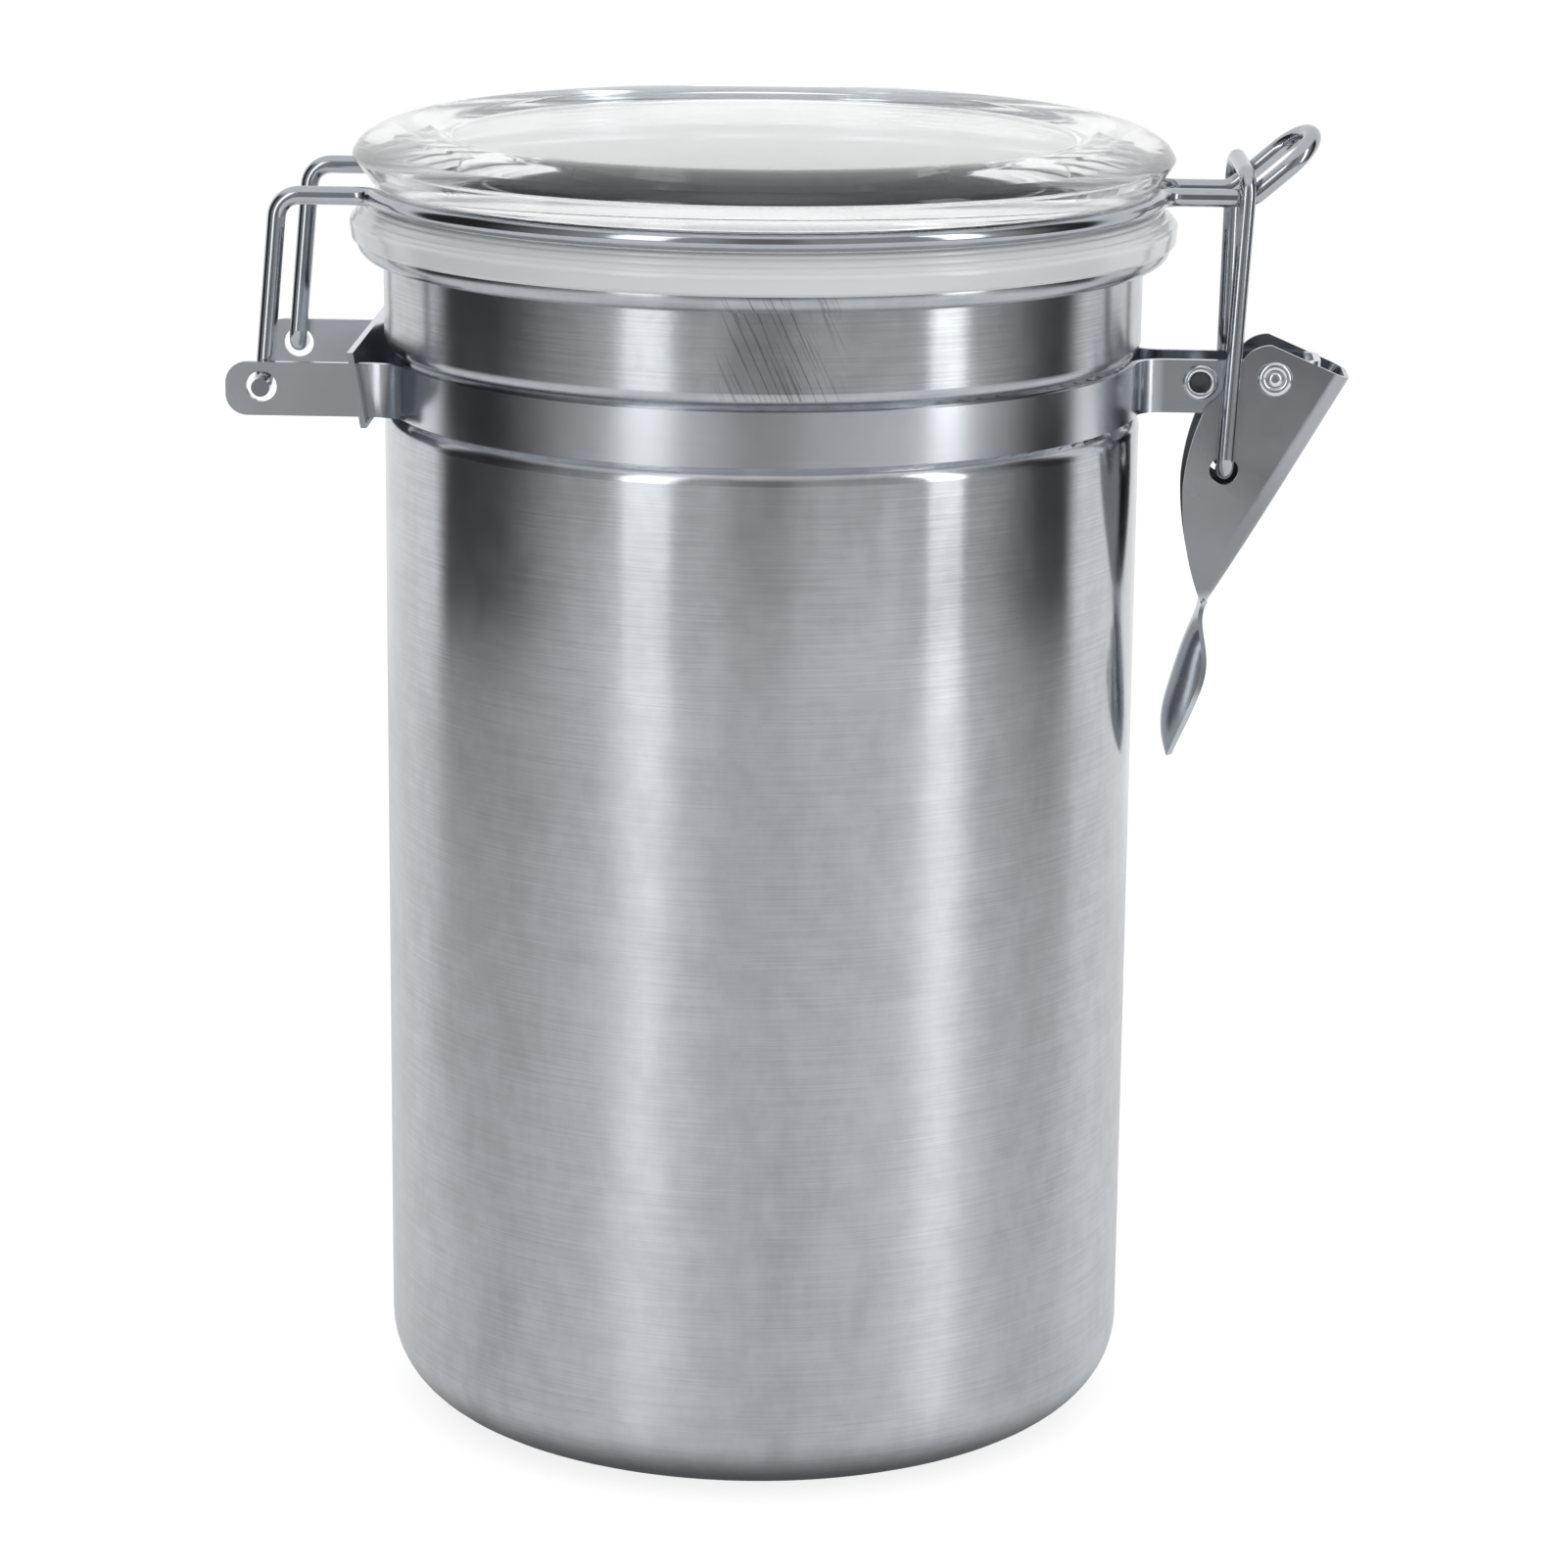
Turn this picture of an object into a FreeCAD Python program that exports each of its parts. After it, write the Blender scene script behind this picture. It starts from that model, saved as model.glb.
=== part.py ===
import FreeCAD, Part
import math
import os

Vector = FreeCAD.Vector

# A clamp-lid food canister. Millimetres, +Z up, origin at the centre of the flat base.
# The hinge is at -X and the latch at +X. The latch loop and the bail on it are twisted a little by hand.

# Driving dimensions of the can
can_radius = 50.0
can_wall = 0.6
base_corner = 10.5
groove_depth = 1.0
groove_low = 134.5
groove_high = 146.1
groove_outer_bend = 2.0
groove_inner_bend = 1.0
curl_radius = 1.45
curl_height = 158.45
curl_end_angle = -120.0

# Driving dimensions of the neck band
band_low = 136.8
band_width = 7.0
band_thick = 0.9
band_gap = 0.05
hinge_ear_bend = 6.3
latch_ear_bend = 4.1
latch_ear_half = 4.05
latch_end = 73.6
latch_corner = 1.8
hinge_ear_half = 17.9
hinge_ear_end = -68.9
ear_round = 2.8

# Driving dimensions of the hinge
hinge_x = -64.2
hinge_z = 140.6
hinge_hole = 2.0
keeper_x = -51.0
keeper_thick = 0.8
keeper_half = 21.0
keeper_low = 135.8
keeper_high = 145.6
keeper_lean = 1.7
slot_gap = 0.15

# Driving dimensions of the lid and its seal
panel_radius = 41.0
panel_height = 172.0
panel_thick = 2.4
bevel_width = 2.2
bevel_rise = 0.9
ridge_radius = 48.2
ridge_height = 173.4
ridge_flat = 2.6
ridge_crown = 0.1
shoulder_radius = 52.1
shoulder_height = 172.0
lid_radius = 54.0
lid_widest = 169.8
lid_edge = 0.5
lid_undercut = 51.6
lid_fillet = 2.0
seal_top = 163.8
plug_radius = 46.1
plug_low = 157.0
plug_thick = 2.2
plug_chamfer = 0.6
seal_gap = 0.3
seal_radius = 54.4
seal_step = 0.4
seal_ridge = 161.4
seal_ridge_round = 0.5
seal_low = 158.75
seal_lip = 0.3
seal_inner_angle = 126.0
rib_count = 3
rib_depth = 0.22
rib_share = 0.4

# Driving dimensions of the wires
lid_wire_radius = 1.2
ring_radius = 52.3
ring_height = 165.2
groove_room = 0.15
hinge_leg_half = 15.9
hinge_pin_end = 19.5
hinge_corner_x = -62.0
leg_bend = 3.0
wire_bend = 3.0
pin_bend = 2.0
loop_half = 4.8
loop_corner_x = 62.5
loop_twist = 1.2
loop_length = 11.8
loop_rise = 41.0
bail_wire_radius = 1.1
bail_half = 7.5
bail_arch = 3.2
bail_top_x = 62.55
bail_top_z = 169.0
bail_twist = 0.65
bail_tilt = 0.7
bail_hook_end = 3.9

# Driving dimensions of the lever and its rivets
pivot_x = 67.5
pivot_z = 141.6
pivot_shank = 1.5
pivot_gap = 0.05
tie_x = 57.8
tie_z = 140.9
tie_shank = 1.7
tie_bore = 1.3
tie_bore_depth = 2.2
rivet_head = 2.35
rim_rise = 0.55
valley_radius = 1.1
valley_rise = 0.2
button_rise = 0.7
button_side = 0.85
button_drop = 0.16
button_flat = 0.35
head_gap = 0.05
sheet = 0.7
cheek_outer = 5.4
hook_x = 61.2
hook_z = 129.3
hook_hole = 1.9
spine_top_x = 77.3
spine_top_z = 141.6
spine_low_x = 59.4
spine_low_z = 110.5
spine_round = 2.2
cheek_low_side = (56.4, 119.6)
cheek_belly = (55.9, 127.0)
cheek_high_side = (56.9, 132.9)
cheek_throat = (58.5, 137.4)
crown_start = (63.0, 143.5)
crown_side = (64.6, 145.3)
crown_top = (67.0, 146.0)
tab_root = 0.6
tab_inset = 0.05
taper_start = 17.0
taper_length = 19.0
taper_drop = 2.0
rivet_room = 3.0


def polar(centre, radius, degrees):
    angle = math.radians(degrees)
    return (centre[0] + radius * math.cos(angle), centre[1] + radius * math.sin(angle))


def arc_about(centre, radius, start, end):
    """Three points of an arc in a half section, from one angle to another."""
    middle = (start + end) / 2.0
    return [polar(centre, radius, angle) for angle in (start, middle, end)]


def section_edges(steps, place):
    """Edges through a list of steps, each a point or the three points of an arc."""
    edges = []
    here = None
    for step in steps:
        start = step if isinstance(step, tuple) else step[0]
        if here is not None and math.dist(here, start) > 1e-6:
            edges.append(Part.LineSegment(place(here), place(start)).toShape())
        here = start
        if not isinstance(step, tuple):
            edges.append(Part.Arc(place(step[0]), place(step[1]), place(step[2])).toShape())
            here = step[2]
    first = steps[0] if isinstance(steps[0], tuple) else steps[0][0]
    if math.dist(here, first) > 1e-6:
        edges.append(Part.LineSegment(place(here), place(first)).toShape())
    return edges


def section_face(steps, place):
    return Part.Face(Part.Wire(Part.__sortEdges__(section_edges(steps, place))))


def half_plane(point):
    return Vector(point[0], 0, point[1])


def turned(steps):
    """A ring turned about Z from its half section, given as (radius, height) steps."""
    return section_face(steps, half_plane).revolve(Vector(0, 0, 0), Vector(0, 0, 1), 360)


def across(steps, half_width):
    """A plate with an outline in X and Z that reaches the same way to both sides of y = 0."""
    face = section_face(steps, lambda point: Vector(point[0], -half_width, point[1]))
    return face.extrude(Vector(0, 2 * half_width, 0))


def pin(x, z, radius, half_length):
    """A round bar along Y."""
    return Part.makeCylinder(radius, 2 * half_length, Vector(x, -half_length, z), Vector(0, 1, 0))


def groove_bends(inset):
    """The two S bends that lead the wall into the band groove and out of it, at a depth in the sheet."""
    bends = groove_outer_bend + groove_inner_bend
    swing = math.degrees(math.acos(1.0 - groove_depth / bends))
    rise = bends * math.sin(math.radians(swing))
    convex = groove_outer_bend - inset
    concave = groove_inner_bend + inset
    outer_x = can_radius - groove_outer_bend
    inner_x = can_radius - groove_depth + groove_inner_bend
    low = (outer_x, groove_low)
    low_floor = (inner_x, groove_low + rise)
    high_floor = (inner_x, groove_high - rise)
    high = (outer_x, groove_high)
    return [
        arc_about(low, convex, 0, swing),
        arc_about(low_floor, concave, 180 + swing, 180),
        arc_about(high_floor, concave, 180, 180 - swing),
        arc_about(high, convex, -swing, 0),
    ]


def wall_side(inset):
    """One side of the can's wall from the base centre to the neck, at a depth in the sheet."""
    corner = (can_radius - base_corner, base_corner)
    base = [(0.0, inset), arc_about(corner, base_corner - inset, -90, 0)]
    return base + groove_bends(inset)


def make_canister_body():
    """The drawn can: flat base, band groove, and a mouth rolled outward into a curl."""
    centre = (can_radius + curl_radius, curl_height)
    rolled = curl_radius + can_wall
    half_way = (180 + curl_end_angle) / 2.0
    inside_curl = [
        arc_about(centre, curl_radius, 180, half_way),
        arc_about(centre, curl_radius, half_way, curl_end_angle),
    ]
    outside_curl = [
        arc_about(centre, rolled, curl_end_angle, half_way),
        arc_about(centre, rolled, half_way, 180),
    ]
    inner = []
    for step in reversed(wall_side(can_wall)):
        inner.append(step if isinstance(step, tuple) else step[::-1])
    return turned(wall_side(0.0) + inside_curl + outside_curl + inner)


def tangent_bend(ear_half, side, ring, bend):
    """The bend from a ring to an ear or leg that leaves it along X: its three points, in plan."""
    centre_y = ear_half + bend
    centre_x = math.sqrt((ring + bend) ** 2 - centre_y ** 2)
    on_ring = math.degrees(math.atan2(-centre_y, -centre_x))
    points = arc_about((centre_x, centre_y), bend, on_ring, -90)
    return [(side * x, -y) for x, y in points]


def band_middle():
    """The middle line of the band's front half in plan, from the hinge ear's end to the latch's end."""
    ring = can_radius - groove_depth + band_gap + band_thick / 2.0
    hinge_bend = tangent_bend(hinge_ear_half, -1, ring, hinge_ear_bend)
    latch_bend = tangent_bend(latch_ear_half, 1, ring, latch_ear_bend)
    end_x = latch_end - band_thick / 2.0
    corner = (end_x - latch_corner, -latch_ear_half + latch_corner)
    return [
        (hinge_ear_end, -hinge_ear_half),
        hinge_bend[::-1],
        [hinge_bend[0], (0.0, -ring), latch_bend[0]],
        latch_bend,
        arc_about(corner, latch_corner, -90, 0),
        (end_x, 0.0),
    ]


def mirrored(steps):
    """The same steps on the far side of y = 0, walked backwards."""
    far = []
    for step in reversed(steps):
        if isinstance(step, tuple):
            far.append((step[0], -step[1]))
        else:
            far.append([(x, -y) for x, y in reversed(step)])
    return far


def make_neck_band():
    """One strip: hinge ear, front half, latch loop, back half and the other hinge ear."""
    near = band_middle()
    steps = near + mirrored(near)
    edges = section_edges(steps, lambda point: Vector(point[0], point[1], 0))[:-1]
    middle = Part.Wire(Part.__sortEdges__(edges))
    outer = middle.makeOffset2D(band_thick / 2.0, 0, False, True, False)
    inner = middle.makeOffset2D(-band_thick / 2.0, 0, False, True, False)
    ends = []
    for a, b in zip(open_ends(outer), open_ends(inner)):
        ends.append(Part.LineSegment(a, b).toShape())
    outline = Part.Wire(Part.__sortEdges__(outer.Edges + inner.Edges + ends))
    strip = Part.Face(outline).extrude(Vector(0, 0, band_width))
    strip.translate(Vector(0, 0, band_low))
    strip = strip.makeFillet(ear_round, ear_corners(strip))
    holes = pin(hinge_x, hinge_z, hinge_hole, 2 * hinge_ear_half)
    holes = holes.fuse(pin(pivot_x, pivot_z, pivot_shank + pivot_gap, 2 * latch_ear_half))
    holes = holes.fuse(pin(tie_x, tie_z, tie_shank + pivot_gap, 2 * latch_ear_half))
    return strip.cut(holes)


def open_ends(wire):
    """The two loose ends of an offset strip edge, front one first."""
    loose = []
    for vertex in wire.Vertexes:
        if abs(vertex.X - hinge_ear_end) < 0.01:
            loose.append(vertex.Point)
    return sorted(loose, key=lambda point: point.y)


def ear_corners(strip):
    """The short edges across the sheet at the hinge ears' ends."""
    found = []
    for edge in strip.Edges:
        middle = edge.CenterOfMass
        flat = abs(edge.BoundBox.ZLength) < 0.01
        if flat and abs(middle.x - hinge_ear_end) < 0.01 and edge.Length < 2 * band_thick:
            found.append(edge)
    return found


def make_hinge_keeper():
    """The flat bar that the two hinge ears pass through. It leans out at the top."""
    corner = Vector(keeper_x, -keeper_half, keeper_low)
    foot = Part.makePlane(keeper_thick, 2 * keeper_half, corner)
    bar = foot.extrude(Vector(-keeper_lean, 0, keeper_high - keeper_low))
    for side in (-1, 1):
        width = band_thick + 2 * slot_gap
        height = band_width + 2 * slot_gap
        corner = Vector(keeper_x - 2 * keeper_lean, side * hinge_ear_half - width / 2.0, band_low - slot_gap)
        bar = bar.cut(Part.makeBox(3 * keeper_lean, width, height, corner))
    return bar


def make_lid():
    """The clear lid: flat panel, raised ring, wire groove round the edge and a plug for the mouth."""
    wire = (ring_radius, ring_height)
    room = lid_wire_radius + groove_room
    lip = math.degrees(math.acos((lid_undercut - ring_radius) / room))
    underside = panel_height - panel_thick
    inner_plug = plug_radius - plug_thick
    steps = [
        (0.0, underside),
        (0.0, panel_height),
        (panel_radius, panel_height),
        (panel_radius + bevel_width, panel_height + bevel_rise),
        (ridge_radius - ridge_flat, ridge_height - ridge_crown),
        [(ridge_radius, ridge_height), (shoulder_radius, shoulder_height), (lid_radius, lid_widest)],
        (lid_radius, lid_widest - lid_edge),
        (lid_undercut, ring_height + room * math.sin(math.radians(lip))),
        arc_about(wire, room, lip, 360 - lip),
        (lid_undercut, seal_top),
        (plug_radius, seal_top),
        (plug_radius, plug_low + plug_chamfer),
        (plug_radius - plug_chamfer, plug_low),
        (inner_plug, plug_low),
        arc_about((inner_plug - lid_fillet, underside - lid_fillet), lid_fillet, 0, 90),
    ]
    return turned(steps)


def seal_slope():
    """The seal's ribbed upper slope, from the lid's edge down to the ridge."""
    top = (lid_undercut + seal_step, seal_top)
    low = (seal_radius, seal_ridge)
    points = [top]
    run = (low[0] - top[0], low[1] - top[1])
    length = math.hypot(run[0], run[1])
    inward = (run[1] / length, -run[0] / length)
    for rib in range(rib_count):
        for side, depth in ((-0.5, 0.0), (0.0, rib_depth), (0.5, 0.0)):
            along = (rib + 0.5 + side * rib_share) / rib_count
            x = top[0] + run[0] * along + inward[0] * depth
            z = top[1] + run[1] * along + inward[1] * depth
            points.append((x, z))
    points.append(low)
    return points


def make_gasket():
    """The soft seal: it hugs the curl from above and outside, and its cone leads into the mouth."""
    centre = (can_radius + curl_radius, curl_height)
    clear = curl_radius + can_wall + seal_gap
    start = math.degrees(math.asin((seal_low - curl_height) / clear))
    seat = plug_radius + band_gap
    steps = [(seat, seal_top)] + seal_slope() + [
        (seal_radius, seal_ridge - seal_ridge_round),
        (seal_radius - seal_lip / 2.0, seal_low + seal_lip),
        (seal_radius - seal_lip, seal_low),
        arc_about(centre, clear, start, seal_inner_angle),
        (seat, plug_low + plug_chamfer),
    ]
    return turned(steps)


def rounded_route(points, radii):
    """Straight runs with a tangent arc at each inner point: a list of point triples and pairs."""
    route = []
    here = points[0]
    for before, corner, after, radius in zip(points, points[1:], points[2:], radii):
        back = (before - corner).normalize()
        ahead = (after - corner).normalize()
        half_turn = math.acos(max(-1.0, min(1.0, back.dot(ahead)))) / 2.0
        reach = radius / math.tan(half_turn)
        start = corner + back * reach
        end = corner + ahead * reach
        centre = corner + (back + ahead).normalize() * (radius / math.sin(half_turn))
        middle = centre + (corner - centre).normalize() * radius
        route.append((here, start))
        route.append((start, middle, end))
        here = end
    route.append((here, points[-1]))
    return route


def flipped(route):
    """The same route on the far side of y = 0, walked backwards."""
    far = []
    for step in reversed(route):
        far.append(tuple(Vector(p.x, -p.y, p.z) for p in reversed(step)))
    return far


def bent_wire(route, radius):
    """A round wire along a route of straight runs and arcs."""
    edges = []
    for step in route:
        if len(step) == 3:
            edges.append(Part.Arc(step[0], step[1], step[2]).toShape())
        elif step[0].distanceToPoint(step[1]) > 1e-6:
            edges.append(Part.LineSegment(step[0], step[1]).toShape())
    path = Part.Wire(edges)
    heading = edges[0].tangentAt(edges[0].FirstParameter)
    ring = Part.Wire(Part.makeCircle(radius, route[0][0], heading))
    wire = path.makePipeShell([ring], True, False)
    expected = math.pi * radius ** 2 * path.Length
    print("wire length %.1f, volume over section times length %.4f" % (path.Length, wire.Volume / expected))
    return wire


def ring_bend(ear_half, side):
    """The bend between the lid wire's ring and a leg that leaves it along X."""
    return [Vector(x, y, ring_height) for x, y in tangent_bend(ear_half, side, ring_radius, leg_bend)]


def loop_leg(side):
    """One leg of the finger loop, from the ring's bend to where the loop's round tip starts."""
    rise = math.radians(loop_rise)
    along = Vector(math.cos(rise), 0, math.sin(rise))
    middle = Vector(loop_corner_x, 0, ring_height)
    tip_start = middle + along * (loop_length - loop_half)
    corner = Vector(loop_corner_x - side * loop_twist, side * loop_half, ring_height)
    end = corner + along * (tip_start - corner).dot(along)
    bend = ring_bend(loop_half, 1)[2]
    return rounded_route([Vector(bend.x, side * loop_half, bend.z), corner, end], [wire_bend]), along


def make_lid_wire():
    """One wire: hinge pin, leg, half the lid's groove, twisted loop, and the same again at the back."""
    hinge_bend = ring_bend(hinge_leg_half, -1)
    latch_bend = ring_bend(loop_half, 1)
    hinge_points = [
        Vector(hinge_x, -hinge_pin_end, hinge_z),
        Vector(hinge_x, -hinge_leg_half, hinge_z),
        Vector(hinge_corner_x, -hinge_leg_half, ring_height),
        hinge_bend[2],
    ]
    route = rounded_route(hinge_points, [pin_bend, wire_bend])
    route.append(tuple(reversed(hinge_bend)))
    route.append((hinge_bend[0], Vector(0, -ring_radius, ring_height), latch_bend[0]))
    route.append(tuple(latch_bend))
    near, along = loop_leg(-1)
    far, along = loop_leg(1)
    near_end = near[-1][-1]
    far_end = far[-1][-1]
    tip = (near_end + far_end) * 0.5 + along * (near_end.distanceToPoint(far_end) / 2.0)
    back = [tuple(reversed(step)) for step in reversed(far)]
    return bent_wire(route + near + [(near_end, tip, far_end)] + back + flipped(route), lid_wire_radius)


def make_latch_bail():
    """The bail: an arch over the lid wire's loop, with its ends hooked into the lever's cheeks."""
    points = [
        Vector(hook_x, -bail_hook_end, hook_z),
        Vector(hook_x, -bail_half, hook_z),
        Vector(bail_top_x + bail_twist, -bail_half, bail_top_z - bail_tilt),
        Vector(bail_top_x - bail_twist, bail_half, bail_top_z + bail_tilt),
        Vector(hook_x, bail_half, hook_z),
        Vector(hook_x, bail_hook_end, hook_z),
    ]
    return bent_wire(rounded_route(points, [pin_bend, bail_arch, bail_arch, pin_bend]), bail_wire_radius)


def spine_axes():
    """The lever's spine: its top, the way down it, the way in toward the can, and its length."""
    top = Vector(spine_top_x, 0, spine_top_z)
    run = Vector(spine_low_x, 0, spine_low_z) - top
    length = run.Length
    down = run.normalize()
    return top, down, Vector(down.z, 0, -down.x), length


def channel_block(half_width, start_depth, deep):
    """A block along the spine whose sides draw in toward the waist."""
    top, down, inward, length = spine_axes()
    above = 12.0
    arc_mid_drop = taper_drop / 4.0
    low = taper_start + taper_length
    steps = [
        (-above, -half_width),
        (taper_start, -half_width),
        [
            (taper_start, -half_width),
            (taper_start + taper_length / 2.0, -half_width + arc_mid_drop),
            (low, -half_width + taper_drop),
        ],
        (low, half_width - taper_drop),
        [
            (low, half_width - taper_drop),
            (taper_start + taper_length / 2.0, half_width - arc_mid_drop),
            (taper_start, half_width),
        ],
        (-above, half_width),
    ]

    def place(point):
        return top + down * point[0] + Vector(0, point[1], 0) + inward * start_depth

    return section_face(steps, place).extrude(inward * deep)


def cheek_outline():
    """The lever's side view: crown over the pivot, can-side edge, waist, and the straight spine."""
    top, down, inward, length = spine_axes()
    waist = top + down * length + inward * sheet
    return [
        (spine_top_x, spine_top_z),
        (spine_low_x, spine_low_z),
        [(waist.x, waist.z), cheek_low_side, cheek_belly],
        [cheek_belly, cheek_high_side, cheek_throat],
        [crown_start, crown_side, crown_top],
    ]


def tab_section(middle_x, z, half_width, scoop, lean, thick):
    """A curved strip across the finger tab, hollow on the side away from the can."""
    angle = math.radians(lean)
    out = Vector(math.cos(angle), 0, -math.sin(angle))
    middle = Vector(middle_x, 0, z)
    near = middle + out * scoop + Vector(0, -half_width, 0)
    far = middle + out * scoop + Vector(0, half_width, 0)
    skin = out * thick
    back = Part.Arc(near, middle, far).toShape()
    front = Part.Arc(far + skin, middle + skin, near + skin).toShape()
    far_side = Part.LineSegment(far, far + skin).toShape()
    near_side = Part.LineSegment(near + skin, near).toShape()
    return Part.Wire([back, far_side, front, near_side])


def make_finger_tab():
    """The scooped tab below the lever's waist, from inside the spine's end to its drawn-in tip."""
    top, down, inward, length = spine_axes()
    root = top + down * (length - tab_root) + inward * (sheet - tab_inset)
    root_lean = math.degrees(math.atan2(inward.z, -inward.x))
    sections = [
        tab_section(root.x, root.z, 3.0, tab_inset, root_lean, sheet - 2 * tab_inset),
        tab_section(57.8, 108.3, 3.4, 0.80, 25.0, sheet),
        tab_section(56.4, 104.6, 4.9, 2.80, 18.0, sheet),
        tab_section(54.9, 99.4, 5.7, 3.20, 12.0, sheet),
        tab_section(54.0, 94.8, 5.0, 2.50, 3.0, sheet),
        tab_section(54.3, 91.2, 3.1, 1.10, -10.0, sheet),
        tab_section(54.8, 89.4, 1.0, 0.20, -18.0, sheet),
    ]
    return Part.makeLoft(sections, True, False)


def make_latch_lever():
    """Folded sheet: two cheeks and a spine, open toward the can, drawn to a waist above the tab."""
    wide = 3 * cheek_outer
    shape = across(cheek_outline(), wide)
    shell = shape.common(channel_block(cheek_outer, -1.0, wide * 2))
    edges = []
    top, down, inward, length = spine_axes()
    for edge in shell.Edges:
        ends = [vertex.Point for vertex in edge.Vertexes]
        on_spine = all(abs((point - top).dot(inward)) < 0.02 for point in ends)
        along = edge.Length > 5.0 and len(ends) == 2 and abs(ends[0].y * ends[1].y) > 1.0
        if on_spine and along and ends[0].y * ends[1].y > 0:
            edges.append(edge)
    shell = shell.makeFillet(spine_round, edges)
    inside = channel_block(cheek_outer - sheet, sheet, wide * 2)
    corners = []
    for edge in inside.Edges:
        ends = [vertex.Point for vertex in edge.Vertexes]
        on_floor = all(abs((point - top).dot(inward) - sheet) < 0.02 for point in ends)
        if on_floor and len(ends) == 2 and ends[0].y * ends[1].y > 0:
            corners.append(edge)
    inside = inside.makeFillet(spine_round - sheet, corners)
    lever = shell.cut(inside).fuse(make_finger_tab())
    lever = lever.cut(pin(pivot_x, pivot_z, pivot_shank + pivot_gap, wide))
    lever = lever.cut(pin(hook_x, hook_z, hook_hole, wide))
    return lever.cut(pin(tie_x, tie_z, rivet_room, wide)).removeSplitter()


def rolled_head(face, inner):
    """Half the section of a rivet head on a face: a rolled rim from its outer edge in to a radius."""
    middle = (rivet_head + inner) / 2.0
    return [(rivet_head, face), (middle, face + rim_rise), (inner, face + valley_rise)]


def button(face):
    """The raised button in the middle of a solid rivet's head."""
    top = face + button_rise
    return [(valley_radius, face + valley_rise), (button_side, top - button_drop), (button_flat, top)]


def outward(steps, side):
    """The same head on either end of the rivet: side is 1 or -1 along Y."""
    made = []
    for step in steps:
        if isinstance(step, tuple):
            made.append((step[0], side * step[1]))
        else:
            made.append([(radius, side * y) for radius, y in step])
    return made


def make_rivet(x, z, shank, inner_face, bore):
    """A rivet along Y: a buttoned head at the back, and in front the same or a blind bore in a rolled rim."""
    face = inner_face + head_gap
    top = face + button_rise
    back = [(shank, face), (rivet_head, face), rolled_head(face, valley_radius), button(face), (0.0, top)]
    front = back
    if bore > 0:
        floor = face - tie_bore_depth
        front = [(shank, face), (rivet_head, face), rolled_head(face, bore), (bore, floor), (0.0, floor)]
    returning = []
    for step in reversed(front):
        returning.append(step if isinstance(step, tuple) else step[::-1])
    steps = outward(back, 1) + outward(returning, -1)
    section = section_face(steps, lambda point: Vector(x + point[0], point[1], z))
    return section.revolve(Vector(x, 0, z), Vector(0, 1, 0), 360)


def make_parts():
    ear_face = latch_ear_half + band_thick / 2.0
    return {
        "canister_body": make_canister_body(),
        "neck_band": make_neck_band(),
        "hinge_keeper": make_hinge_keeper(),
        "lid": make_lid(),
        "gasket": make_gasket(),
        "lid_wire": make_lid_wire(),
        "latch_bail": make_latch_bail(),
        "latch_lever": make_latch_lever(),
        "pivot_rivet": make_rivet(pivot_x, pivot_z, pivot_shank, cheek_outer, 0.0),
        "tie_rivet": make_rivet(tie_x, tie_z, tie_shank, ear_face, tie_bore),
    }


def main():
    os.makedirs("parts", exist_ok=True)
    for name, shape in make_parts().items():
        solid = shape.Solids[0]
        count = len(shape.Solids)
        print("%-14s solids %d valid %s volume %.1f" % (name, count, shape.isValid(), shape.Volume))
        solid.exportStep("parts/%s.step" % name)


main()
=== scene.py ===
# %% [markdown]
# # A steel food canister with a clear clamp lid
#
# The canister is a drawn steel can with a ribbed seal, a clear lid and a wire
# latch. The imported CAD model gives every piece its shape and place, so this
# script first loads that frame, and then gives each piece the finish of the
# real one. All lengths are in metres, and the can stands on z = 0.

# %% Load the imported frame
import math

import bmesh
import bpy
from mathutils import Matrix, Vector


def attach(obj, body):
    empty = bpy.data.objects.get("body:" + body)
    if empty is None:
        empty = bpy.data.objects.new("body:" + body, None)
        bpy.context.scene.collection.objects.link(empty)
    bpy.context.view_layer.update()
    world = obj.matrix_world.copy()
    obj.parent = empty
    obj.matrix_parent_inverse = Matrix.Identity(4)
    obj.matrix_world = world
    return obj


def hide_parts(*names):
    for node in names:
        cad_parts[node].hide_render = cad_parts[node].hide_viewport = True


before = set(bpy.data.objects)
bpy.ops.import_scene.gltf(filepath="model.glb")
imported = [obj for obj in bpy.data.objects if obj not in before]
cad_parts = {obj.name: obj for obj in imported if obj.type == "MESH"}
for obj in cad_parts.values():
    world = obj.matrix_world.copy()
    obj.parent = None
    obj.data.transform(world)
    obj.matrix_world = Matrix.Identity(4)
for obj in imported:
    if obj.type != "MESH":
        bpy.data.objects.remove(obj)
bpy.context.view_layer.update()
print("CAD nodes:", ", ".join(sorted(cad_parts)))

# %% [markdown]
# ## The camera
#
# The photograph looks slightly down at the can from the front, through a
# medium long lens. The camera is turned about the vertical first, then
# tipped down, and last rolled about its own line of sight.

# %% Camera
camera_place = Vector((0.0305, -0.6600, 0.2513))
camera_turn = 0.04102
camera_tip = 0.24782
camera_roll = 0.01017

camera_data = bpy.data.cameras.new("photo_camera")
camera_data.lens = 115.5
camera_data.sensor_width = 36.0
camera = bpy.data.objects.new("photo_camera", camera_data)
bpy.context.scene.collection.objects.link(camera)
turn = Matrix.Rotation(camera_turn, 4, "Z")
tip = Matrix.Rotation(math.pi / 2 - camera_tip, 4, "X")
roll = Matrix.Rotation(camera_roll, 4, "Z")
camera.matrix_world = Matrix.Translation(camera_place) @ turn @ tip @ roll
bpy.context.scene.camera = camera
print("camera looks down by", round(math.degrees(camera_tip), 1), "degrees")

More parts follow.
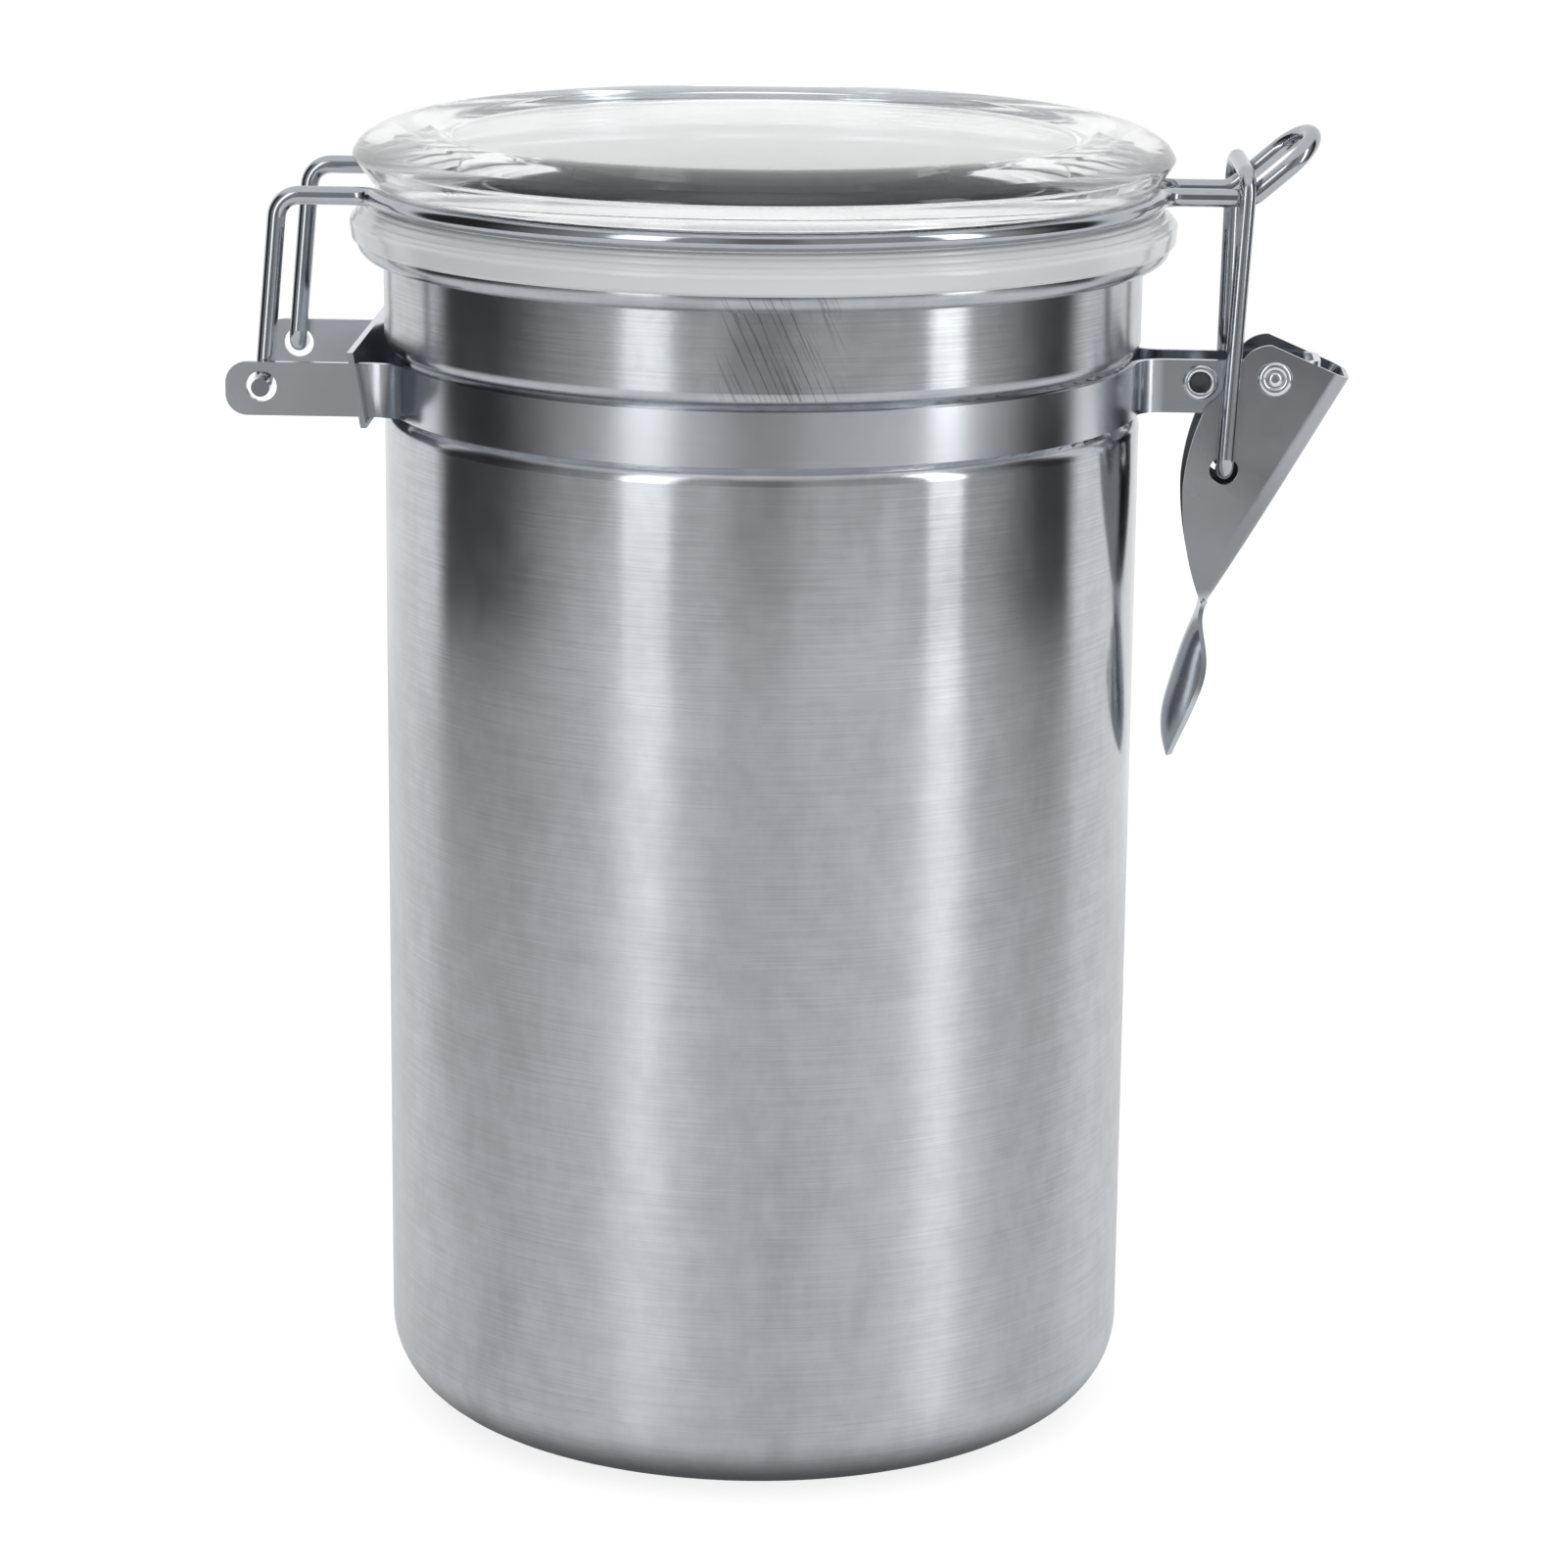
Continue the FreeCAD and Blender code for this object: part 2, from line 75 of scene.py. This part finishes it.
# %% [markdown]
# ## Helpers for node materials
#
# A material is a small graph of nodes. These helpers keep the graphs short to
# write: one makes a node and sets or links its inputs, and the others make
# the few kinds of node that nearly every finish here needs. Nearly all of a
# noise lies in its middle span, so that span is what the gloss follows.

# %% Node helpers
noise_span = (0.3, 0.7)


def add_node(tree, kind, inputs=None, **settings):
    """Add a node, set its properties, and set or link its inputs."""
    node = tree.nodes.new(kind)
    for name, value in settings.items():
        setattr(node, name, value)
    for name, value in (inputs or {}).items():
        socket = node.inputs[name]
        if isinstance(value, bpy.types.NodeSocket):
            tree.links.new(value, socket)
        else:
            socket.default_value = value
    return node


def math_node(tree, operation, a, b=0.0, clamp=False):
    """One arithmetic step between two values or sockets."""
    node = add_node(tree, "ShaderNodeMath", {0: a, 1: b}, operation=operation)
    node.use_clamp = clamp
    return node.outputs[0]


def plus(tree, a, b):
    """The sum of two values or sockets."""
    return math_node(tree, "ADD", a, b)


def minus(tree, a, b):
    """The difference of two values or sockets."""
    return math_node(tree, "SUBTRACT", a, b)


def times(tree, a, b):
    """The product of two values or sockets."""
    return math_node(tree, "MULTIPLY", a, b)


def ramp_between(tree, value, low, high, out_low, out_high):
    """Smoothly carry value from the range low-high to out_low-out_high."""
    node = add_node(
        tree,
        "ShaderNodeMapRange",
        {
            "Value": value,
            "From Min": low,
            "From Max": high,
            "To Min": out_low,
            "To Max": out_high,
        },
        interpolation_type="SMOOTHSTEP",
    )
    return node.outputs["Result"]


def mix_numbers(tree, share, first, second):
    """A number that goes from first to second as share goes from 0 to 1."""
    inputs = {0: share, 2: first, 3: second}
    return add_node(tree, "ShaderNodeMix", inputs, data_type="FLOAT").outputs[0]


def mix_colours(tree, share, first, second):
    """A colour that goes from first to second as share goes from 0 to 1."""
    inputs = {0: share, 6: first, 7: second}
    return add_node(tree, "ShaderNodeMix", inputs, data_type="RGBA").outputs[2]


def own_place(tree):
    """The shaded point in the piece's own coordinates."""
    return add_node(tree, "ShaderNodeTexCoord").outputs["Object"]


def split_place(tree, place):
    """The three coordinates of a place: across, toward the back, and up."""
    return add_node(tree, "ShaderNodeSeparateXYZ", {0: place}).outputs


def angle_round(tree, across, toward_back):
    """The angle round the upright axis: 0 in front, and a right angle at the latch."""
    return math_node(tree, "ARCTAN2", across, times(tree, toward_back, -1.0))


def noise(tree, place, detail, roughness):
    """Noise over a place that is already scaled."""
    node = add_node(
        tree,
        "ShaderNodeTexNoise",
        {"Vector": place, "Scale": 1.0, "Detail": detail, "Roughness": roughness},
    )
    return node.outputs["Fac"]


def grain(tree, scale, detail=3.0, roughness=0.55):
    """Noise over the piece's own coordinates, stretched by scale per axis."""
    inputs = {"Vector": own_place(tree), "Scale": scale}
    mapping = add_node(tree, "ShaderNodeMapping", inputs)
    return noise(tree, mapping.outputs["Vector"], detail, roughness)


def plain_sight(tree):
    """The light path, and 1 for what the camera sees directly or through the lid."""
    path = add_node(tree, "ShaderNodeLightPath").outputs
    seen = math_node(tree, "ADD", path["Is Camera Ray"], path["Transmission Depth"], clamp=True)
    return path, seen


def new_finish(name):
    """A material with one Principled shader, returned with its tree and shader."""
    material = bpy.data.materials.new(name)
    material.use_nodes = True
    tree = material.node_tree
    shader = tree.nodes["Principled BSDF"]
    return material, tree, shader


# %% [markdown]
# ## The stage
#
# The can stands on a white table top that ends just outside the picture. The
# camera sees the table and the world as white, with the can's soft shadow,
# and they are white through the clear lid too. Polished metal is the colour
# of what it reflects, so the room matters: it has a white wall behind, dark
# sides, a grey front and a soft light overhead. The lower part of the can
# reflects the table, and the upper part looks past the table's edge into the
# darker room.

# %% Table
table_half_width = 0.42
table_front = -0.50
table_back = 1.00
table_seen_glow = 0.84
table_seen_shade = 0.30
table_mirrored_glow = 0.27

table_mesh = bpy.data.meshes.new("table_top")
shape = bmesh.new()
bmesh.ops.create_grid(shape, x_segments=1, y_segments=1, size=0.5)
table_size = (2 * table_half_width, table_back - table_front, 1)
bmesh.ops.scale(shape, vec=table_size, verts=shape.verts)
table_middle = (0, (table_back + table_front) / 2, 0)
bmesh.ops.translate(shape, vec=table_middle, verts=shape.verts)
shape.to_mesh(table_mesh)
shape.free()
table = bpy.data.objects.new("table_top", table_mesh)
bpy.context.scene.collection.objects.link(table)

table_finish, tree, shader = new_finish("table_white")
shader.inputs["Base Color"].default_value = (0.80, 0.80, 0.80, 1)
shader.inputs["Roughness"].default_value = 0.9
shader.inputs["Specular IOR Level"].default_value = 0.0
shader.inputs["Emission Color"].default_value = (1, 1, 1, 1)
path, seen = plain_sight(tree)
mirrored = times(tree, path["Is Glossy Ray"], table_mirrored_glow)
tree.links.new(mirrored, shader.inputs["Emission Strength"])
glow = add_node(tree, "ShaderNodeEmission", {"Color": (1, 1, 1, 1), "Strength": table_seen_glow})
shade_colour = (table_seen_shade, table_seen_shade, table_seen_shade, 1)
shade = add_node(tree, "ShaderNodeBsdfDiffuse", {"Color": shade_colour})
seen_table = add_node(tree, "ShaderNodeAddShader", {0: shade.outputs[0], 1: glow.outputs[0]})
either = add_node(
    tree,
    "ShaderNodeMixShader",
    {"Fac": seen, 1: shader.outputs[0], 2: seen_table.outputs[0]},
)
tree.links.new(either.outputs[0], tree.nodes["Material Output"].inputs["Surface"])
table.data.materials.append(table_finish)
print("table is", 2 * table_half_width, "m wide")

# %% [markdown]
# The room is drawn by the angle round the upright axis. Each wall is a light
# that fades in between two angles, in radians from the front, and the strip
# behind the camera is darker than the rest of the front wall.

# %% World
back_wall_edge = (1.86, 2.02)
back_wall_light = 0.95
front_wall_left_edge = (-1.50, -0.70)
front_wall_right_edge = (1.72, 1.20)
front_wall_light = 0.42
camera_strip_middle = 0.05
camera_strip_edge = (0.10, 0.26)
camera_strip_share = 0.52
ceiling_edge = (0.55, 0.80)
dark_side_light = 0.03

world = bpy.data.worlds.new("studio_room")
bpy.context.scene.world = world
world.use_nodes = True
tree = world.node_tree
background = tree.nodes["Background"]
direction = add_node(tree, "ShaderNodeTexCoord").outputs["Generated"]
across, toward_back, upward = split_place(tree, direction)
around = angle_round(tree, across, toward_back)
off_front = math_node(tree, "ABSOLUTE", around)
back_wall = ramp_between(tree, off_front, *back_wall_edge, 0.0, back_wall_light)
left_part = ramp_between(tree, around, *front_wall_left_edge, 0.0, front_wall_light)
right_part = ramp_between(tree, around, *front_wall_right_edge, 0.0, 1.0)
off_camera = math_node(tree, "ABSOLUTE", minus(tree, around, camera_strip_middle))
camera_strip = ramp_between(tree, off_camera, *camera_strip_edge, camera_strip_share, 1.0)
front_wall = times(tree, times(tree, left_part, right_part), camera_strip)
ceiling = ramp_between(tree, upward, *ceiling_edge, 0.0, 1.0)
room = plus(tree, plus(tree, back_wall, front_wall), dark_side_light)
room = math_node(tree, "MAXIMUM", room, ceiling)
path, seen = plain_sight(tree)
strength = math_node(tree, "MAXIMUM", room, seen)
background.inputs["Color"].default_value = (1, 1, 1, 1)
tree.links.new(strength, background.inputs["Strength"])
print("world has a white back wall, dark sides, a grey front and a soft ceiling")

# %% [markdown]
# ## The lamps
#
# Two tall soft boxes stand in front of the can, one on each side. On brushed
# steel each of them draws one bright upright band.

# %% Soft boxes
box_distance = 0.9
box_height = 0.9
box_middle = 0.40
aimed_at = Vector((0, 0, 0.09))


def soft_box(name, degrees, width, radiance):
    """A tall area lamp that faces the can, some degrees round from the front."""
    lamp = bpy.data.lights.new(name, "AREA")
    lamp.shape = "RECTANGLE"
    lamp.size = width
    lamp.size_y = box_height
    lamp.energy = radiance * math.pi * width * box_height
    box = bpy.data.objects.new(name, lamp)
    bpy.context.scene.collection.objects.link(box)
    angle = math.radians(degrees)
    box.location = (box_distance * math.sin(angle), -box_distance * math.cos(angle), box_middle)
    box.rotation_mode = "QUATERNION"
    box.rotation_quaternion = (aimed_at - box.location).to_track_quat("-Z", "Y")
    box.visible_camera = False


soft_box("left_box", -31, 0.26, 2.0)
soft_box("right_box", 58, 0.20, 3.0)
print("two soft boxes")

# %% [markdown]
# ## Light that bounces inside the can
#
# What shows through the lid has gone to and fro in the thick clear rim, or
# down into the steel can and up again, so it needs many more bounces than
# Blender allows at first. With too few, the ends of the lid turn grey.

# %% Bounces
light_paths = bpy.context.scene.cycles
light_paths.max_bounces = 64
light_paths.glossy_bounces = 48
light_paths.transmission_bounces = 48
print("glossy bounces:", light_paths.glossy_bounces)

# %% [markdown]
# ## Turned pieces
#
# The lid and the seal are round mouldings. Their CAD solids have sharp edges,
# and real mouldings have small rounded ones, which catch the light as bright
# rings. So both are drawn again as a half section: a chain of points, whose
# corners are bevelled, and which is then spun round the upright axis.

# %% Spin a half section
MM = 0.001
spin_steps = 240
corner_segments = 5


def turned_piece(name, section, stands_for, body):
    """Spin (radius, height, rounding) points in mm round Z into a smooth closed piece."""
    shape = bmesh.new()
    points = [shape.verts.new((radius * MM, 0, height * MM)) for radius, height, _ in section]
    for start, end in zip(points, points[1:]):
        shape.edges.new((start, end))
    for point, (_, _, rounding) in zip(points, section):
        if rounding:
            bmesh.ops.bevel(
                shape,
                geom=[point],
                offset=rounding * MM,
                offset_type="OFFSET",
                affect="VERTICES",
                segments=corner_segments,
                profile=0.5,
                material=-1,
            )
    bmesh.ops.spin(
        shape,
        geom=shape.verts[:] + shape.edges[:],
        cent=(0, 0, 0),
        axis=(0, 0, 1),
        angle=2 * math.pi,
        steps=spin_steps,
        use_merge=True,
    )
    bmesh.ops.remove_doubles(shape, verts=shape.verts[:], dist=1e-6)
    bmesh.ops.recalc_face_normals(shape, faces=shape.faces[:])
    for face in shape.faces:
        face.smooth = True
    mesh = bpy.data.meshes.new(name)
    shape.to_mesh(mesh)
    shape.free()
    piece = bpy.data.objects.new(name, mesh)
    bpy.context.scene.collection.objects.link(piece)
    weights = piece.modifiers.new("flat_faces_lead", "WEIGHTED_NORMAL")
    weights.mode = "FACE_AREA"
    weights.weight = 80
    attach(piece, body)
    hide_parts(stands_for)
    print(name, "has", len(mesh.polygons), "faces")
    return piece


# %% [markdown]
# The lid's section starts in the middle of its top. It goes out over the
# raised rim, in under the rim to the groove that holds the wire ring, down
# the plug that stands in the can's mouth, and back to the middle below.

# %% Clear lid
lid_section = [
    (0.0, 172.0, 0),
    (41.0, 172.0, 0.25),
    (43.2, 172.9, 0.5),
    (45.6, 173.3, 0.8),
    (48.2, 173.4, 1.2),
    (51.6, 172.4, 1.6),
    (53.6, 170.7, 0.9),
    (54.0, 169.6, 0.45),
    (51.7, 166.45, 0.2),
    (51.0, 165.9, 0.3),
    (50.95, 164.5, 0.3),
    (51.6, 164.05, 0.15),
    (51.6, 163.85, 0.05),
    (46.1, 163.85, 0.05),
    (46.1, 157.0, 0.6),
    (43.9, 157.0, 0.5),
    (43.9, 169.6, 2.0),
    (0.0, 169.6, 0),
]
clear_lid = turned_piece("clear_lid", lid_section, "lid", "lid_assembly")

# %% [markdown]
# The seal's section goes down three small ribs to its ridge. From its lower
# lip it then follows the can's curled mouth with a little room between them,
# and the last points lie against the lid's plug.

# %% Milky seal
curl_middle_radius = 51.45
curl_middle_height = 158.45
curl_room = 2.35
curl_first = 5
curl_last = 125
curl_step = 30

seal_section = [
    (46.2, 163.75, 0.1),
    (51.9, 163.75, 0.25),
    (52.35, 163.4, 0.12),
    (52.4, 163.1, 0.10),
    (52.75, 162.95, 0.12),
    (53.15, 162.55, 0.12),
    (53.2, 162.25, 0.10),
    (53.6, 162.1, 0.12),
    (53.95, 161.75, 0.12),
    (54.0, 161.5, 0.10),
    (54.35, 161.3, 0.2),
    (54.4, 160.85, 0.3),
    (54.2, 159.0, 0.15),
    (53.85, 158.75, 0.1),
]
for degrees in range(curl_first, curl_last + 1, curl_step):
    angle = math.radians(degrees)
    seal_section.append(
        (
            curl_middle_radius + curl_room * math.cos(angle),
            curl_middle_height + curl_room * math.sin(angle),
            0.4 if curl_first < degrees < curl_last else 0,
        )
    )
seal_section += [(46.2, 157.7, 0.3), (46.2, 163.75, 0)]
milky_seal = turned_piece("milky_seal", seal_section, "gasket", "lid_assembly")

# %% [markdown]
# ## Wire, band, lever and rivets
#
# All the metal here is the same stainless steel with different surface work.
# Each of these finishes has fine lines or specks in its colour and relief,
# and softer patches in its gloss. Two pieces get a little more: painted shade
# in the bore of the hollow rivet, and on the lever painted shade down its
# cheeks and a painted highlight on its tab.


# %% Steel finishes
def steel_finish(name, tone, roughness, brush_scale, brush_depth, contrast):
    """Steel with fine brush lines in its colour and relief, and patches in its gloss."""
    material, tree, shader = new_finish(name)
    lines = grain(tree, brush_scale, 4.0, 0.6)
    patches = grain(tree, (45.0, 45.0, 30.0), 4.0, 0.6)
    light = tuple(min(1.0, (1 + contrast) * c) for c in tone) + (1,)
    dark = tuple((1 - contrast) * c for c in tone) + (1,)
    tree.links.new(mix_colours(tree, lines, dark, light), shader.inputs["Base Color"])
    gloss = ramp_between(tree, patches, *noise_span, roughness * 0.8, roughness * 1.2)
    tree.links.new(gloss, shader.inputs["Roughness"])
    relief_inputs = {"Height": lines, "Strength": 0.4, "Distance": brush_depth}
    relief = add_node(tree, "ShaderNodeBump", relief_inputs)
    tree.links.new(relief.outputs["Normal"], shader.inputs["Normal"])
    shader.inputs["Metallic"].default_value = 1.0
    return material


def colour_so_far(material):
    """A finish's tree, its colour socket, and what feeds that socket now."""
    tree = material.node_tree
    socket = tree.nodes["Principled BSDF"].inputs["Base Color"]
    return tree, socket, socket.links[0].from_socket


def paint_bore_shade(material, axis_x, axis_z, bore_radius):
    """Paint shade into the bore in a rivet's front end, over its own colour."""
    tree, colour_socket, unshaded_colour = colour_so_far(material)
    # Painted shade: the bore gets a dark grey in place of the steel's colour.
    bore_shade_colour = (0.22, 0.225, 0.235, 1)
    place = own_place(tree)
    toward_back = split_place(tree, place)["Y"]
    flat = add_node(tree, "ShaderNodeVectorMath", {0: place, 1: (1, 0, 1)}, operation="MULTIPLY")
    ends = {0: flat.outputs[0], 1: (axis_x, 0, axis_z)}
    away = add_node(tree, "ShaderNodeVectorMath", ends, operation="DISTANCE").outputs["Value"]
    outside = ramp_between(tree, away, bore_radius, 1.06 * bore_radius, 0.0, 1.0)
    at_back = math_node(tree, "GREATER_THAN", toward_back, 0.0)
    outside = math_node(tree, "MAXIMUM", outside, at_back)
    tree.links.new(mix_colours(tree, outside, bore_shade_colour, unshaded_colour), colour_socket)


def paint_lever_shade_and_highlight(material, cheek_low, cheek_high, cheek_shade_share, waist, tab_highlight_share):
    """Paint shade on the lever's cheeks toward their lower ends, and a highlight on its tab."""
    tree, colour_socket, plain = colour_so_far(material)
    height = split_place(tree, own_place(tree))["Z"]
    cheek_shade = ramp_between(tree, height, cheek_low, cheek_high, cheek_shade_share, 1.0)
    on_tab = ramp_between(tree, height, waist + MM, waist - MM, 0.0, 1.0)
    share = mix_numbers(tree, on_tab, cheek_shade, tab_highlight_share)
    inputs = {0: plain, "Scale": share}
    shaded_and_highlighted = add_node(tree, "ShaderNodeVectorMath", inputs, operation="SCALE")
    tree.links.new(shaded_and_highlighted.outputs[0], colour_socket)


def dress(piece, material):
    """Give a piece or a CAD node its finish."""
    slots = piece.data.materials
    slots.clear()
    slots.append(material)
    print(piece.name, "wears", material.name)


# %% Dress the small steel pieces
round_lines = (60, 60, 3000)
drawn_specks = (300, 300, 300)
fine_specks = (500, 500, 500)
rivet_tone = (0.66, 0.68, 0.71)

band_steel = steel_finish("satin_band_steel", (0.60, 0.625, 0.66), 0.20, round_lines, 1e-6, 0.05)
wire_steel = steel_finish("drawn_wire_steel", (0.42, 0.44, 0.465), 0.13, drawn_specks, 2e-6, 0.12)
lever_steel = steel_finish("lever_sheet_steel", (0.39, 0.405, 0.43), 0.25, fine_specks, 1e-6, 0.05)
# Painted shade on the lever's cheeks and a painted highlight on its tab.
paint_lever_shade_and_highlight(
    lever_steel,
    cheek_low=0.1220,
    cheek_high=0.1340,
    cheek_shade_share=0.66,
    waist=0.1120,
    tab_highlight_share=1.35,
)
rivet_steel = steel_finish("rivet_steel", rivet_tone, 0.12, fine_specks, 1e-6, 0.06)
tie_steel = steel_finish("hollow_rivet_steel", rivet_tone, 0.12, fine_specks, 1e-6, 0.06)
paint_bore_shade(tie_steel, axis_x=0.0578, axis_z=0.1409, bore_radius=0.00133)

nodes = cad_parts
dress(nodes["neck_band"], band_steel)
dress(nodes["hinge_keeper"], band_steel)
dress(nodes["lid_wire"], wire_steel)
dress(nodes["latch_bail"], wire_steel)
dress(nodes["latch_lever"], lever_steel)
dress(nodes["pivot_rivet"], rivet_steel)
dress(nodes["tie_rivet"], tie_steel)

# %% [markdown]
# ## The can's own finish
#
# The can's side was brushed on a lathe, so fine lines run round it. Three
# kinds of noise make its tone: the lines, a small mottle and broad smudges.
# Darker rubs lie over them, the neck is a little darker, and the rounded
# corner at the base is darkened with painted shade.

# %% Can tone
neck_edge = (0.1340, 0.1375)
base_shade_edge = (0.0012, 0.0085)
lines_share = 0.40
mottle_share = 0.35
smudge_share = 0.25
rub_depth = 0.05
neck_depth = 0.06
base_shade_share = 0.16
tone_span = (0.36, 0.64)
tone_range = (0.45, 0.56)
line_scale = (60, 60, 6000)
smudge_scale = (30, 30, 14)
mottle_scale = (220, 220, 160)
rub_scale = (75, 75, 24)
rub_peaks = (0.56, 0.72)

can_steel, tree, shader = new_finish("brushed_can_steel")
place = own_place(tree)
across, toward_back, height = split_place(tree, place)
around = angle_round(tree, across, toward_back)
fine_lines = grain(tree, line_scale, 3.0, 0.6)
smudges = grain(tree, smudge_scale, 4.0, 0.62)
mottle = grain(tree, mottle_scale, 4.0, 0.65)
rubs = ramp_between(tree, grain(tree, rub_scale, 3.0, 0.55), *rub_peaks, 0.0, 1.0)
neck = ramp_between(tree, height, *neck_edge, 0.0, 1.0)
lines = plus(tree, times(tree, fine_lines, lines_share), times(tree, mottle, mottle_share))
lines = plus(tree, lines, times(tree, smudges, smudge_share))
tone = ramp_between(tree, lines, *tone_span, *tone_range)
tone = minus(tree, tone, times(tree, rubs, rub_depth))
tone = minus(tree, tone, times(tree, neck, neck_depth))
# Painted shade: the rounded corner at the base grows darker down toward the table.
tone = times(tree, tone, ramp_between(tree, height, *base_shade_edge, base_shade_share, 1.0))
print("can tone from", len(tree.nodes), "nodes")

# %% [markdown]
# The shoulder under the band is still smooth, and the side below it has been
# worn duller by hands. The border between the two wanders with the smudges,
# and it lies lower on the side that the latch covers.

# %% Can gloss
worn_edge = (0.1190, 0.0930)
border_wander = 0.030
latch_drop = 0.030
latch_side_start = (1.00, 1.30)
latch_side_end = (2.10, 1.80)
neck_roughness = 0.06
worn_roughness = (0.33, 0.40)
smooth_roughness = (0.14, 0.21)

wander = times(tree, minus(tree, smudges, 0.5), border_wander)
latch_side = times(
    tree,
    ramp_between(tree, around, *latch_side_start, 0.0, latch_drop),
    ramp_between(tree, around, *latch_side_end, 0.0, 1.0),
)
border_height = plus(tree, plus(tree, height, wander), latch_side)
worn = ramp_between(tree, border_height, *worn_edge, 0.0, 1.0)
worn_gloss = ramp_between(tree, smudges, *noise_span, *worn_roughness)
smooth_gloss = ramp_between(tree, smudges, *noise_span, *smooth_roughness)
gloss = mix_numbers(tree, worn, smooth_gloss, worn_gloss)
gloss = plus(tree, gloss, times(tree, neck, neck_roughness))
print("can gloss: smooth shoulder above", worn_edge[0], "m")

# %% [markdown]
# A patch of slanting scratches lies on the front of the neck, on its outside
# alone. The noise for them is stretched along the slant, and only its peaks
# are kept.

# %% Scratches on the neck
scratch_left_edge = (-0.10, 0.00)
scratch_right_edge = (0.30, 0.16)
scratch_low_edge = (0.1390, 0.1430)
can_radius = 0.050
outside_radius = 0.0497
slant_rise = 0.45
scratches_per_metre = 2200.0
breaks_per_metre = 60.0
scratch_peaks = (0.54, 0.62)
scratch_depth = 0.15

left_part = ramp_between(tree, around, *scratch_left_edge, 0.0, 1.0)
right_part = ramp_between(tree, around, *scratch_right_edge, 0.0, 1.0)
upper_part = ramp_between(tree, height, *scratch_low_edge, 0.0, 1.0)
patch = times(tree, times(tree, left_part, right_part), upper_part)
slant = plus(tree, times(tree, around, can_radius), times(tree, height, slant_rise))
scratch_place = add_node(
    tree,
    "ShaderNodeCombineXYZ",
    {0: times(tree, slant, scratches_per_metre), 1: times(tree, height, breaks_per_metre)},
)
peaks = noise(tree, scratch_place.outputs[0], 2.0, 0.6)
scratches = times(tree, ramp_between(tree, peaks, *scratch_peaks, 0.0, 1.0), patch)
flat = add_node(tree, "ShaderNodeVectorMath", {0: place, 1: (1, 1, 0)}, operation="MULTIPLY")
from_axis = add_node(tree, "ShaderNodeVectorMath", {0: flat.outputs[0]}, operation="LENGTH")
on_outside = math_node(tree, "GREATER_THAN", from_axis.outputs["Value"], outside_radius)
scratches = times(tree, scratches, on_outside)
tone = minus(tree, tone, times(tree, scratches, scratch_depth))
print("scratches on the neck from", scratch_low_edge[0], "m up")

# %% [markdown]
# Brushing spreads a reflection across its lines and keeps it sharp along
# them. A tangent round the upright axis gives the lines their direction. The
# steel is faintly blue, so green and blue are a little above red.

# %% Dress the can
green_share = 1.04
blue_share = 1.09

green = times(tree, tone, green_share)
blue = times(tree, tone, blue_share)
colour = add_node(tree, "ShaderNodeCombineColor", {0: tone, 1: green, 2: blue})
tree.links.new(colour.outputs[0], shader.inputs["Base Color"])
tree.links.new(gloss, shader.inputs["Roughness"])
relief_inputs = {"Height": fine_lines, "Strength": 0.25, "Distance": 1e-6}
relief = add_node(tree, "ShaderNodeBump", relief_inputs)
tree.links.new(relief.outputs["Normal"], shader.inputs["Normal"])
shader.inputs["Metallic"].default_value = 1.0
shader.inputs["Anisotropic"].default_value = 0.85
shader.inputs["Anisotropic Rotation"].default_value = 0.25
tangent = add_node(tree, "ShaderNodeTangent", direction_type="RADIAL", axis="Z")
tree.links.new(tangent.outputs[0], shader.inputs["Tangent"])
dress(nodes["canister_body"], can_steel)

# %% [markdown]
# ## Clear plastic and milky silicone
#
# The lid is a thick clear moulding, so it bends what is seen through it. The
# seal is soft and milky: some light goes into it, and its thin ridge carries
# a painted highlight, a colour lighter than the rest.

# %% Lid finish
lid_plastic, tree, shader = new_finish("clear_lid_plastic")
swirl = grain(tree, (60, 60, 60), 3.0, 0.5)
tint = mix_colours(tree, swirl, (0.980, 0.986, 0.992, 1), (0.990, 0.994, 0.998, 1))
tree.links.new(tint, shader.inputs["Base Color"])
gloss = ramp_between(tree, swirl, *noise_span, 0.01, 0.05)
tree.links.new(gloss, shader.inputs["Roughness"])
shader.inputs["Transmission Weight"].default_value = 0.98
shader.inputs["IOR"].default_value = 1.49
dress(clear_lid, lid_plastic)

# %% Seal finish
ridge_height = 0.16115
ridge_highlight_edge = (0.00035, 0.00012)

seal_silicone, tree, shader = new_finish("milky_seal_silicone")
cloud = grain(tree, (120, 120, 120), 3.0, 0.5)
tint = mix_colours(tree, cloud, (0.89, 0.905, 0.92, 1), (0.91, 0.925, 0.935, 1))
height = split_place(tree, own_place(tree))["Z"]
# Painted highlight: the thin ridge is coloured lighter, as a bright line of light along it.
off_ridge = math_node(tree, "ABSOLUTE", minus(tree, height, ridge_height))
ridge_highlight = ramp_between(tree, off_ridge, *ridge_highlight_edge, 0.0, 1.0)
tint = mix_colours(tree, ridge_highlight, tint, (0.97, 0.985, 1.0, 1))
tree.links.new(tint, shader.inputs["Base Color"])
gloss = ramp_between(tree, cloud, *noise_span, 0.10, 0.16)
tree.links.new(gloss, shader.inputs["Roughness"])
shader.inputs["Transmission Weight"].default_value = 0.16
shader.inputs["IOR"].default_value = 1.55
dress(milky_seal, seal_silicone)

# %% Finish
bpy.context.scene.view_settings.view_transform = "Standard"
